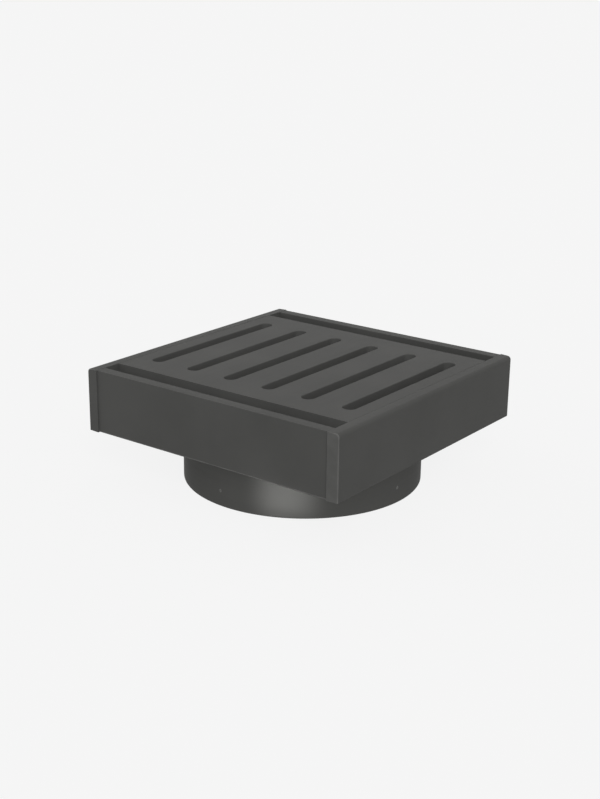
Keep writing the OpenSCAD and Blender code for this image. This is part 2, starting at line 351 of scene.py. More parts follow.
@dataclass
class NodeBoard:
    """Adds and joins nodes in one node tree."""

    tree: NodeTree

    def add(self, kind: str, **settings: object) -> bpy.types.Node:
        """Adds a node and sets its attributes.

        Args:
            kind: The node's type name.
            settings: Attributes to set on it.

        Returns:
            The node.
        """
        node = self.tree.nodes.new(kind)
        for name, value in settings.items():
            setattr(node, name, value)
        return node

    def feed(self, socket: NodeSocket, source: NodeSocket | float | Sequence[float]) -> None:
        """Links a socket to another, or sets its value."""
        if isinstance(source, NodeSocket):
            self.tree.links.new(source, socket)
        else:
            socket.default_value = source

    def math(self, operation: str, first: NodeSocket | float,
             second: NodeSocket | float = 0.0, clamp: bool = False) -> NodeSocket:
        """Adds a Math node.

        Args:
            operation: What it does.
            first: Its first operand.
            second: Its second operand.
            clamp: True keeps the result from 0 to 1.

        Returns:
            The result's socket.
        """
        node = self.add("ShaderNodeMath", operation=operation, use_clamp=clamp)
        self.feed(node.inputs[0], first)
        self.feed(node.inputs[1], second)
        return node.outputs[0]

    def mix(self, share: NodeSocket | float, first: NodeSocket | Sequence[float],
            second: NodeSocket | Sequence[float]) -> NodeSocket:
        """Mixes two colours.

        Args:
            share: How much of the second colour there is.
            first: The colour at 0.
            second: The colour at 1.

        Returns:
            The mixed colour's socket.
        """
        node = self.add("ShaderNodeMix", data_type="RGBA", clamp_factor=True)
        self.feed(node.inputs["Factor"], share)
        self.feed(node.inputs[6], first)
        self.feed(node.inputs[7], second)
        return node.outputs[2]

    def noise(self, where: NodeSocket, scale: NodeSocket | float,
              detail: float = 2.0) -> NodeSocket:
        """Adds a Noise Texture and returns its value's socket."""
        node = self.add("ShaderNodeTexNoise")
        self.feed(node.inputs["Vector"], where)
        self.feed(node.inputs["Scale"], scale)
        node.inputs["Detail"].default_value = detail
        return node.outputs[0]

    def ranged(self, value: NodeSocket, source: tuple[float, float],
               target: tuple[float, float]) -> NodeSocket:
        """Maps a value smoothly from one range to another.

        Args:
            value: The value to map.
            source: The range it comes from.
            target: The range it goes to.

        Returns:
            The mapped value's socket.
        """
        node = self.add("ShaderNodeMapRange", interpolation_type="SMOOTHSTEP")
        self.feed(node.inputs[0], value)
        for number, limit in enumerate((*source, *target), start=1):
            node.inputs[number].default_value = limit
        return node.outputs[0]


class SharedEffects:
    """The node groups that more than one finish uses, each built once."""

    def __init__(self) -> None:
        """Builds the groups."""
        self.turned = self._turned()
        self.grain = self._grain()
        self.wear_and_highlight = self._wear_and_highlight()
        self.dust = self._dust()

    @staticmethod
    def _group(name: str, inputs: dict[str, str], output: str, kind: str) -> NodeBoard:
        """Makes an empty group with named sockets.

        Args:
            name: The group's name.
            inputs: Socket type for each input's name.
            output: The output's name.
            kind: The output's socket type.

        Returns:
            The group's board, with its input and output nodes in place.
        """
        tree = bpy.data.node_groups.new(name, "ShaderNodeTree")
        for label, socket_type in inputs.items():
            tree.interface.new_socket(name=label, in_out="INPUT", socket_type=socket_type)
        tree.interface.new_socket(name=output, in_out="OUTPUT", socket_type=kind)
        board = NodeBoard(tree)
        board.add("NodeGroupInput")
        board.add("NodeGroupOutput")
        return board

    def _turned(self) -> ShaderNodeTree:
        """Builds the group that bends space so that marks run round the Z axis."""
        board = self._group("turned_marks", {"Vector": "NodeSocketVector"}, "Vector",
                            "NodeSocketVector")
        nodes = board.tree.nodes
        parts = board.add("ShaderNodeSeparateXYZ")
        board.feed(parts.inputs[0], nodes["Group Input"].outputs[0])
        radius = board.math("POWER", board.math(
            "ADD", board.math("MULTIPLY", parts.outputs[0], parts.outputs[0]),
            board.math("MULTIPLY", parts.outputs[1], parts.outputs[1])), 0.5)
        angle = board.math("ARCTAN2", parts.outputs[1], parts.outputs[0])
        whole = board.add("ShaderNodeCombineXYZ")
        board.feed(whole.inputs[0], radius)
        board.feed(whole.inputs[1], board.math("MULTIPLY", angle, 0.4 * MM))
        board.feed(whole.inputs[2], parts.outputs[2])
        board.feed(nodes["Group Output"].inputs[0], whole.outputs[0])
        return board.tree

    def _grain(self) -> ShaderNodeTree:
        """Builds the group for fine surface marks."""
        board = self._group("fine_grain", {"Vector": "NodeSocketVector",
                                           "Scale": "NodeSocketFloat"},
                            "Height", "NodeSocketFloat")
        nodes = board.tree.nodes
        source = nodes["Group Input"].outputs
        fine = board.noise(source[0], source[1], detail=3.0)
        coarse = board.noise(source[0], board.math("MULTIPLY", source[1], 0.23), detail=1.0)
        height = board.math("ADD", board.math("MULTIPLY", fine, 0.65),
                            board.math("MULTIPLY", coarse, 0.35))
        board.feed(nodes["Group Output"].inputs[0], height)
        return board.tree

    def _wear_and_highlight(self) -> ShaderNodeTree:
        """Builds the group that lightens the faces marked in the edge layer: rubbed edges, and
        painted highlights on some edges and faces.
        """
        board = self._group("edge_wear_and_highlight", {"Vector": "NodeSocketVector",
                                          "Amount": "NodeSocketFloat"},
                            "Mask", "NodeSocketFloat")
        nodes = board.tree.nodes
        source = nodes["Group Input"].outputs
        edge = board.add("ShaderNodeAttribute", attribute_name=EDGE_LAYER,
                         attribute_type="GEOMETRY").outputs["Fac"]
        patches = board.ranged(board.noise(source[0], 160.0, detail=4.0), (0.3, 0.7), (0.45, 1.0))
        mask = board.math("MULTIPLY", board.math("MULTIPLY", edge, patches), source[1], clamp=True)
        board.feed(nodes["Group Output"].inputs[0], mask)
        return board.tree

    def _dust(self) -> ShaderNodeTree:
        """Builds the group for pale dust on faces that look up."""
        board = self._group("settled_dust", {"Vector": "NodeSocketVector",
                                             "Amount": "NodeSocketFloat"},
                            "Mask", "NodeSocketFloat")
        nodes = board.tree.nodes
        source = nodes["Group Input"].outputs
        normal = board.add("ShaderNodeSeparateXYZ")
        board.feed(normal.inputs[0], board.add("ShaderNodeNewGeometry").outputs["Normal"])
        upward = board.ranged(normal.outputs[2], (0.6, 1.0), (0.0, 1.0))
        patches = board.ranged(board.noise(source[0], 70.0, detail=5.0), (0.35, 0.75), (0.1, 1.0))
        mask = board.math("MULTIPLY", board.math("MULTIPLY", upward, patches), source[1],
                          clamp=True)
        board.feed(nodes["Group Output"].inputs[0], mask)
        return board.tree


@dataclass
class FinishShop:
    """Makes a material for each finish, once."""

    effects: SharedEffects = field(default_factory=SharedEffects)
    made: dict[str, Material] = field(default_factory=dict)

    DUST: Colour = (0.30, 0.29, 0.27)
    BRUSH_STRETCH: tuple[float, float, float] = (1.0, 0.03, 1.0)

    def material(self, finish: Finish) -> Material:
        """Returns the finish's material, and builds it the first time."""
        if finish.slot not in self.made:
            self.made[finish.slot] = self._build(finish)
        return self.made[finish.slot]

    def _place(self, board: NodeBoard, tree: NodeTree,
               *sources: NodeSocket | float) -> NodeSocket:
        """Places a shared group and returns its output's socket."""
        node = board.add("ShaderNodeGroup")
        node.node_tree = tree
        for socket, source in zip(node.inputs, sources):
            board.feed(socket, source)
        return node.outputs[0]

    def _marks(self, board: NodeBoard, finish: Finish, where: NodeSocket) -> NodeSocket:
        """Returns the coordinates that the finish's fine marks follow."""
        if finish.texture is Texture.TURNED:
            return self._place(board, self.effects.turned, where)
        if finish.texture is Texture.BRUSHED:
            mapping = board.add("ShaderNodeMapping")
            board.feed(mapping.inputs["Vector"], where)
            mapping.inputs["Scale"].default_value = self.BRUSH_STRETCH
            return mapping.outputs[0]
        return where

    def _build(self, finish: Finish) -> Material:
        """Builds a finish's shader nodes.

        Args:
            finish: What to build.

        Returns:
            The material.
        """
        material = bpy.data.materials.new(finish.slot)
        material.use_nodes = True
        board = NodeBoard(material.node_tree)
        shader = board.tree.nodes["Principled BSDF"]
        where = board.add("ShaderNodeTexCoord").outputs["Object"]

        drift = board.noise(where, 38.0, detail=3.0)
        dark = tuple(channel * (1.0 - finish.mottle) for channel in finish.colour)
        light = tuple(channel * (1.0 + finish.mottle) for channel in finish.colour)
        colour = board.mix(board.ranged(drift, (0.3, 0.7), (0.0, 1.0)), (*dark, 1), (*light, 1))
        if finish.wear_and_highlight:
            # Marked edges and faces turn lighter: wear, and a painted highlight where the pieces
            # mark it.
            rubbed_and_lit = self._place(board, self.effects.wear_and_highlight, where, finish.wear_and_highlight)
            colour = board.mix(rubbed_and_lit, colour, (*finish.worn_and_lit, 1))
        if finish.dust:
            dusty = self._place(board, self.effects.dust, where, finish.dust)
            colour = board.mix(dusty, colour, (*self.DUST, 1))
        board.feed(shader.inputs["Base Color"], colour)

        marks = self._marks(board, finish, where)
        height = self._place(board, self.effects.grain, marks, 1.0 / finish.grain_size)
        spread = finish.roughness_spread
        rough = board.ranged(board.math("ADD", board.math("MULTIPLY", height, 0.6),
                                        board.math("MULTIPLY", drift, 0.4)),
                             (0.3, 0.7), (finish.roughness - spread, finish.roughness + spread))
        board.feed(shader.inputs["Roughness"], rough)
        bump = board.add("ShaderNodeBump")
        bump.inputs["Strength"].default_value = 1.0
        bump.inputs["Distance"].default_value = finish.grain_depth
        board.feed(bump.inputs["Height"], height)
        board.feed(shader.inputs["Normal"], bump.outputs[0])

        shader.inputs["Metallic"].default_value = finish.metallic
        shader.inputs["Specular IOR Level"].default_value = finish.specular
        shader.inputs["Specular Tint"].default_value = (finish.edge_tint,) * 3 + (1,)
        return material


# ---------------------------------------------------------------------------------------------
# Pieces
# ---------------------------------------------------------------------------------------------


@dataclass
class Workshop:
    """Turns finished meshes into pieces that ride on the frame."""

    finishes: FinishShop = field(default_factory=FinishShop)
    pieces: list[Object] = field(default_factory=list)

    SHARP_ANGLE: float = math.radians(42.0)

    def piece(self, name: str, bm: BMesh, node: str, body: str, finish: Finish) -> Object:
        """Makes the object that stands for a frame node.

        Args:
            name: The piece's name.
            bm: Its mesh, which is used up.
            node: The frame node that it stands for.
            body: The body that it rides on.
            finish: Its surface.

        Returns:
            The piece.
        """
        mesh = bpy.data.meshes.new(name)
        bm.to_mesh(mesh)
        bm.free()
        mesh.shade_smooth()
        mesh.set_sharp_from_angle(angle=self.SHARP_ANGLE)
        mesh.materials.append(self.finishes.material(finish))
        piece = bpy.data.objects.new(name, mesh)
        bpy.context.scene.collection.objects.link(piece)
        shading = piece.modifiers.new("even_shading", "WEIGHTED_NORMAL")
        shading.keep_sharp = True
        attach(piece, body)
        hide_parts(node)
        self.pieces.append(piece)
        LOG.info("%s rides on %s, %d faces", name, body, len(mesh.polygons))
        return piece

    def dress(self, node: str, finish: Finish) -> None:
        """Gives a frame node, whose shape stays as it is, its finish."""
        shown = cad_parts[node]
        shown.data.materials.clear()
        shown.data.materials.append(self.finishes.material(finish))
        LOG.info("%s keeps its shape", node)


def moved_to(bm: BMesh, place: Vector) -> BMesh:
    """Moves a mesh that was made about the origin, and returns it."""
    bmesh.ops.translate(bm, vec=place, verts=bm.verts)
    return bm


def middle(node: str) -> Vector:
    """Returns the middle of a frame node's box."""
    low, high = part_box(node)
    return (low + high) / 2


@dataclass
class FrameAssembly:
    """The square frame with its spigot, the lugs that carry the grate and the stop pins."""

    shop: Workshop
    body: str = "frame"
    top_round: float = 1.2 * MM
    corner_round: float = 0.55 * MM
    # The rounded corners of the wall ends are painted lighter: a painted highlight line, with some
    # wear.
    corner_wear_and_highlight: float = 0.85
    crown: float = 0.25 * MM
    # The end faces take the lighter worn colour, the right wall's far more than the left's: a
    # painted highlight on the near end face, with a little wear.
    end_wear_and_highlight: dict[str, float] = field(default_factory=lambda: {"left": 0.04, "right": 0.4})
    foot_round: float = 0.5 * MM
    edge: float = 0.22 * MM
    fine_edge: float = 0.1 * MM
    floor_edge: float = 0.05 * MM
    spigot_wall: float = 2.5 * MM
    spigot_edge: float = 0.45 * MM
    collar: float = 0.5 * MM
    collar_gap: float = 0.05 * MM
    pin_turn: float = math.radians(-3.6)
    pin_dome: float = 0.1 * MM

    def build(self) -> None:
        """Builds every piece of the assembly."""
        for side in ("left", "right"):
            self.side_wall(side)
        for side in ("front", "back"):
            self.end_wall(side)
        self.floor_plate()
        self.spigot()
        for number in range(1, 5):
            self.rest_lug(number)
            self.stop_pin(number)

    def side_wall(self, side: str) -> None:
        """Builds a side wall: rounded along its outer top edge, with ends ground a little round."""
        node = f"{side}_wall"
        low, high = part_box(node)
        bm = block(low, high)
        outer = low.x if side == "left" else high.x
        inner = low.x + high.x - outer
        for vert in bm.verts:
            if level(vert.co.x, outer):
                vert.co.y -= math.copysign(self.crown, vert.co.y)
        bevel(bm, edges_where(bm, lambda co: level(co.x, outer) and level(co.z, high.z)),
              self.top_round, 8, lighten_share=0.0)
        ends = [edge for edge in bm.edges
                if abs(sum(vert.co.y for vert in edge.verts)) > 1.9 * (high.y - self.crown)
                and not all(level(vert.co.z, low.z) for vert in edge.verts)
                and not any(level(vert.co.x, inner) for vert in edge.verts)]
        # These corner rounds take the lighter worn colour as a painted highlight line and as wear.
        bevel(bm, ends, self.corner_round, 4, lighten_share=self.corner_wear_and_highlight)
        soften(bm, self.fine_edge, segments=2, lighten_share=0.2)
        keep_inside(bm, low, high)
        # The end faces are painted lighter, the right wall's most: a painted highlight, plus wear.
        lighten_faces(bm, [face for face in bm.faces if abs(face.normal.y) > 0.9],
                  self.end_wear_and_highlight[side])
        self.shop.piece(f"side_wall_{side}", bm, node, self.body, GUNMETAL)

    def end_wall(self, side: str) -> None:
        """Builds the front or back wall, with a soft round along its foot."""
        node = f"{side}_wall"
        low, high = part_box(node)
        bm = block(low, high)
        outer = low.y if side == "front" else high.y
        bevel(bm, edges_where(bm, lambda co: level(co.y, outer) and level(co.z, low.z)),
              self.foot_round, 5)
        bevel(bm, edges_where(bm, lambda co: level(co.z, high.z)), self.edge, 3, lighten_share=0.15)
        self.shop.piece(f"end_wall_{side}", bm, node, self.body, GUNMETAL)

    def floor_plate(self) -> None:
        """Builds the floor with the round hole that the spigot stands in."""
        low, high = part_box("floor_plate")
        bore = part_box("outlet_spigot")[1].x + self.collar_gap
        bm = plate(rectangle_points(low, high), [circle_points(bore)], low.z, high.z)
        soften(bm, self.floor_edge, segments=2)
        self.shop.piece("floor_pan", bm, "floor_plate", self.body, GUNMETAL)

    def spigot(self) -> None:
        """Builds the outlet spigot, which steps out where it passes the floor."""
        low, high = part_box("outlet_spigot")
        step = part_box("floor_plate")[0].z
        outer = high.x - self.collar
        inner = outer - self.spigot_wall
        bm = lathe([(inner, low.z), (outer, low.z), (outer, step), (high.x, step),
                    (high.x, high.z), (inner, high.z)])
        bevel(bm, edges_where(bm, lambda co: level(co.z, low.z)), self.spigot_edge, 4)
        bevel(bm, edges_where(bm, lambda co: level(co.z, high.z)), self.fine_edge, 2)
        self.shop.piece("spigot", bm, "outlet_spigot", self.body, SPIGOT_GUNMETAL)

    def rest_lug(self, number: int) -> None:
        """Builds one of the angle brackets that the grate rests on."""
        node = f"rest_lug_{number}"
        bm = merged_copy(node)
        soften(bm, self.fine_edge, segments=2)
        self.shop.piece(f"grate_rest_{number}", bm, node, self.body, GUNMETAL)

    def stop_pin(self, number: int) -> None:
        """Builds a pin through the spigot's wall, with a low domed end on the outside."""
        node = f"stop_pin_{number}"
        low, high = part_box(node)
        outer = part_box("outlet_spigot")[1].x - self.collar
        radius = (high.z - low.z) / 2
        length = self.spigot_wall + 2.2 * MM
        bm = lathe([(0.0, -length), (radius, -length), (radius, -self.pin_dome),
                    (radius * 0.7, 0.0), (0.0, self.pin_dome / 2)], closed=False, steps=32)
        soften(bm, self.fine_edge, segments=2)
        # Every face of the pin takes the lighter worn colour: a painted highlight on its end, which
        # sits in shade under the frame.
        lighten_faces(bm, bm.faces, 1.0)
        bmesh.ops.rotate(bm, cent=(0, 0, 0), verts=bm.verts,
                         matrix=Matrix.Rotation(math.pi / 2, 3, "X"))
        bmesh.ops.translate(bm, verts=bm.verts, vec=(0, -outer, (low.z + high.z) / 2))
        bmesh.ops.rotate(bm, cent=(0, 0, 0), verts=bm.verts,
                         matrix=Matrix.Rotation(self.pin_turn + math.pi / 2 * (number - 1), 3,
                                                "Z"))
        self.shop.piece(f"seal_stop_{number}", bm, node, self.body, GUNMETAL)


@dataclass
class Grate:
    """The slotted plate with the studs that locate it and the buffers it sits on."""

    shop: Workshop
    body: str = "grate"
    slots: int = 6
    slot_pitch: float = 15.4 * MM
    slot_width: float = 4.5 * MM
    slot_length: float = 61.0 * MM
    edge: float = 0.28 * MM
    side_edge: float = 0.06 * MM
    # Share of the lighter colour on the upright faces: wear on the cut faces and painted light
    # against the shade inside the slots.
    slot_wall_wear_and_light: float = 0.4
    stud_edge: float = 0.15 * MM
    buffer_gap: float = 0.05 * MM

    def build(self) -> None:
        """Builds every piece of the assembly."""
        self.plate()
        for number in range(1, 5):
            self.stud(number)
            self.buffer(number)

    def plate(self) -> None:
        """Builds the plate, with a soft lip round each slot."""
        low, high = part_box("grate_plate")
        first = -(self.slots - 1) / 2
        holes = [slot_points((first + number) * self.slot_pitch, self.slot_width,
                             self.slot_length) for number in range(self.slots)]
        bm = plate(rectangle_points(low, high), holes, low.z, high.z)
        sides = [edge for edge in bm.edges
                 if all(level(abs(vert.co.x), high.x) for vert in edge.verts)]
        rest = [edge for edge in bm.edges
                if edge.calc_face_angle(0.0) > 1.0 and edge not in sides]
        bevel(bm, rest, self.edge, 3)
        soften(bm, self.side_edge, segments=1, sharper_than=60.0)
        # The upright faces, the slot walls most of all, are painted lighter: wear on cut faces and
        # painted light against the shade in the slots.
        lighten_faces(bm, [face for face in bm.faces if abs(face.normal.z) < 0.1], self.slot_wall_wear_and_light)
        self.shop.piece("slotted_grate", bm, "grate_plate", self.body, GRATE_GUNMETAL)

    def stud(self, number: int) -> None:
        """Builds a locating stud with its pointed lower end."""
        node = f"locating_stud_{number}"
        low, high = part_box(node)
        radius, point = (high.x - low.x) / 2, 0.8 * MM
        bm = lathe([(0.0, low.z), (radius - point, low.z), (radius, low.z + point),
                    (radius, high.z), (0.0, high.z)], closed=False, steps=48)
        soften(bm, self.stud_edge, segments=2)
        place = middle(node)
        place.z = 0.0
        self.shop.piece(f"grate_stud_{number}", moved_to(bm, place), node, self.body, STAINLESS)

    def buffer(self, number: int) -> None:
        """Builds a rubber buffer round a stud."""
        node = f"rubber_buffer_{number}"
        low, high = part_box(node)
        stud_low, stud_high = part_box(f"locating_stud_{number}")
        outer = (high.x - low.x) / 2
        inner = (stud_high.x - stud_low.x) / 2 + self.buffer_gap
        bm = lathe([(inner, low.z), (outer, low.z), (outer, high.z), (inner, high.z)], steps=64)
        soften(bm, 2 * self.stud_edge)
        place = middle(node)
        place.z = 0.0
        self.shop.piece(f"grate_buffer_{number}", moved_to(bm, place), node, self.body, RUBBER)


@dataclass
class Strainer:
    """The punched hat that catches hair, with its knob and screw."""

    shop: Workshop
    body: str = "strainer"
    sheet: float = 0.8 * MM
    rim_edge: float = 0.25 * MM
    knob_edge: float = 0.3 * MM
    screw_edge: float = 0.15 * MM

    def build(self) -> None:
        """Builds every piece of the assembly."""
        self.rim()
        self.shop.dress("strainer_wall", STAINLESS_SHEET)
        self.shop.dress("strainer_top", STAINLESS_SHEET)
        self.knob()
        bm = merged_copy("knob_screw")
        soften(bm, self.screw_edge, segments=2)
        self.shop.piece("strainer_screw", bm, "knob_screw", self.body, STAINLESS)

    def rim(self) -> None:
        """Builds the flat rim with its softened edge and the skirt below it."""
        low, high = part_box("strainer_rim")
        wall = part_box("strainer_wall")[1].x
        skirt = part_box("seal_housing")[1].x
        face = high.z - self.sheet
        bm = lathe([(wall - self.sheet, face), (skirt - self.sheet, face),
                    (skirt - self.sheet, low.z), (skirt, low.z), (skirt, face), (high.x, face),
                    (high.x, high.z), (wall - self.sheet, high.z)])
        soften(bm, self.rim_edge)
        self.shop.piece("hair_strainer_rim", bm, "strainer_rim", self.body, STAINLESS_SHEET)

    def knob(self) -> None:
        """Builds the knob: a neck under a flat head with a dished top."""
        low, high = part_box("strainer_knob")
        radius, height = high.x, high.z - low.z
        neck, lip = radius * 0.56, low.z + height * 0.45
        bore = 1.55 * MM
        bm = lathe([(bore, low.z), (neck, low.z), (neck, lip), (radius, lip),
                    (radius, high.z), (radius * 0.72, high.z), (radius * 0.45, high.z - 0.35 * MM),
                    (0.0, high.z - 0.45 * MM), (0.0, high.z - 0.7 * MM), (bore, high.z - 0.7 * MM)],
                   closed=True, steps=96)
        soften(bm, self.knob_edge)
        self.shop.piece("hair_strainer_knob", bm, "strainer_knob", self.body, STAINLESS)


@dataclass
class OdourSeal:
    """The drop-in housing with its O-rings, the bush for the valve stem and the return spring."""

    shop: Workshop
    body: str = "odour_seal"
    edge: float = 0.25 * MM
    housing_wall: float = 3.6 * MM
    groove_depth: float = 1.9 * MM
    groove_play: float = 0.1 * MM
    seat_width: float = 7.45 * MM
    ring_section: float = 2.2 * MM
    wire: float = 0.8 * MM
    stem_hole: float = 2.05 * MM
    spring_travel: float = 5.0 * MM

    def build(self) -> None:
        """Builds every piece of the assembly."""
        self.housing()
        self.seat()
        bm = merged_copy("guide_spider")
        soften(bm, self.edge, segments=3)
        self.shop.piece("stem_guide", bm, "guide_spider", self.body, BLACK_PLASTIC)
        for place in ("upper", "lower"):
            self.o_ring(place)
        self.bush()
        self.spring()

    def housing(self) -> None:
        """Builds the ring that fills the bore, with its two grooves."""
        low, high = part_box("seal_housing")
        inner = high.x - self.housing_wall
        depth = high.x - self.groove_depth
        profile = [(inner, low.z), (high.x, low.z)]
        for node in ("lower_o_ring", "upper_o_ring"):
            ring_low, ring_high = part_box(node)
            bottom, top = ring_low.z - self.groove_play, ring_high.z + self.groove_play
            profile += [(high.x, bottom), (depth, bottom), (depth, top), (high.x, top)]
        bm = lathe(profile + [(high.x, high.z), (inner, high.z)])
        soften(bm, self.edge, segments=3)
        self.shop.piece("seal_ring_body", bm, "seal_housing", self.body, BLACK_PLASTIC)

    def seat(self) -> None:
        """Builds the flat ring that the valve closes against."""
        low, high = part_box("valve_seat")
        inner = high.x - self.seat_width
        bm = lathe([(inner, low.z), (high.x, low.z), (high.x, high.z), (inner, high.z)])
        soften(bm, self.edge, segments=3)
        self.shop.piece("seal_seat", bm, "valve_seat", self.body, BLACK_PLASTIC)

    def o_ring(self, place: str) -> None:
        """Builds an O-ring as a round section turned about the axis."""
        node = f"{place}_o_ring"
        low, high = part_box(node)
        radius = self.ring_section / 2
        centre = high.x - radius
        turns = [math.tau * step / 24 for step in range(24)]
        bm = lathe([(centre + radius * math.cos(turn), middle(node).z + radius * math.sin(turn))
                    for turn in turns])
        self.shop.piece(f"sealing_ring_{place}", bm, node, self.body, RUBBER)

    def bush(self) -> None:
        """Builds the flanged guide bush."""
        low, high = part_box("guide_bush")
        flange, barrel = high.x, high.x * 0.7
        shoulder = high.z - 1.0 * MM
        bm = lathe([(self.stem_hole, low.z), (barrel, low.z), (barrel, shoulder),
                    (flange, shoulder), (flange, high.z), (self.stem_hole, high.z)], steps=72)
        soften(bm, self.edge / 2, segments=2)
        self.shop.piece("stem_bush", bm, "guide_bush", self.body, ACETAL)

    def spring(self) -> None:
        """Builds the coil by screwing a round wire section up the axis."""
        low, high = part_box("return_spring")
        radius = self.wire / 2
        mean = high.x - radius
        rise = high.z - low.z - self.wire
        turns = max(2, math.floor((rise - self.spring_travel) / self.wire))
        steps = 40 * turns
        bm = new_mesh()
        section = bmesh.ops.create_circle(bm, cap_ends=True, radius=radius, segments=12)["verts"]
        bmesh.ops.rotate(bm, cent=(0, 0, 0), verts=section,
                         matrix=Matrix.Rotation(math.pi / 2, 3, "X"))
        bmesh.ops.translate(bm, verts=section, vec=(mean, 0, low.z + radius))
        bmesh.ops.spin(bm, geom=bm.faces[:], cent=(0, 0, 0), axis=(0, 0, 1),
                       angle=math.tau * turns, dvec=(0, 0, rise / steps), steps=steps)
        bmesh.ops.recalc_face_normals(bm, faces=bm.faces)
        piece = self.shop.piece("valve_spring", bm, "return_spring", self.body, SPRING_STEEL)
        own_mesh(piece)


@dataclass
class Valve:
    """The disc that closes the odour seal from below, with its stem, cap and snap ring."""

    shop: Workshop
    body: str = "valve"
    edge: float = 0.25 * MM
    boss_radius: float = 5.0 * MM
    boss_height: float = 0.9 * MM
    stem_radius: float = 2.0 * MM
    head_height: float = 0.8 * MM
    gap: float = 0.05 * MM
    gasket_inner: float = 24.0 * MM

    def build(self) -> None:
        """Builds every piece of the assembly."""
        self.disc()
        self.gasket()
        self.stem()
        self.cap()
        bm = merged_copy("stem_clip")
        soften(bm, self.edge / 3, segments=2)
        self.shop.piece("snap_ring", bm, "stem_clip", self.body, SPRING_STEEL)

    def disc(self) -> None:
        """Builds the disc with its boss."""
        low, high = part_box("valve_disc")
        bore, face = self.stem_radius + self.gap, high.z - self.boss_height
        bm = lathe([(bore, low.z), (high.x, low.z), (high.x, face), (self.boss_radius, face),
                    (self.boss_radius, high.z), (bore, high.z)])
        soften(bm, self.edge)
        self.shop.piece("valve_plate", bm, "valve_disc", self.body, BLACK_PLASTIC)

    def gasket(self) -> None:
        """Builds the flat gasket with a raised sealing lip."""
        low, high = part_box("valve_gasket")
        lip = high.z - 0.25 * MM
        bm = lathe([(self.gasket_inner, low.z), (high.x, low.z), (high.x, lip),
                    (high.x - 1.2 * MM, high.z), (high.x - 3.0 * MM, high.z),
                    (high.x - 3.6 * MM, lip), (self.gasket_inner, lip)])
        soften(bm, self.edge / 2, segments=2)
        self.shop.piece("valve_seal", bm, "valve_gasket", self.body, RUBBER)

    def stem(self) -> None:
        """Builds the stem with its head below the disc and its groove for the snap ring."""
        low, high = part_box("valve_stem")
        clip_low, clip_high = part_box("stem_clip")
        head = low.z + self.head_height
        groove = self.stem_radius - 0.5 * MM
        bm = lathe([(0.0, low.z), (high.x, low.z), (high.x, head), (self.stem_radius, head),
                    (self.stem_radius, clip_low.z - self.gap), (groove, clip_low.z - self.gap),
                    (groove, clip_high.z + self.gap), (self.stem_radius, clip_high.z + self.gap),
                    (self.stem_radius, high.z), (0.0, high.z)], closed=False, steps=48)
        soften(bm, self.edge / 2, segments=2)
        self.shop.piece("valve_rod", bm, "valve_stem", self.body, STAINLESS)

    def cap(self) -> None:
        """Builds the cap that the spring pushes up."""
        low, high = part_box("spring_cap")
        bore = self.stem_radius + self.gap
        bm = lathe([(bore, low.z), (high.x, low.z), (high.x, high.z), (bore, high.z)], steps=72)
        soften(bm, 2 * self.edge)
        self.shop.piece("spring_seat", bm, "spring_cap", self.body, BLACK_PLASTIC)


# ---------------------------------------------------------------------------------------------
# Studio
# ---------------------------------------------------------------------------------------------


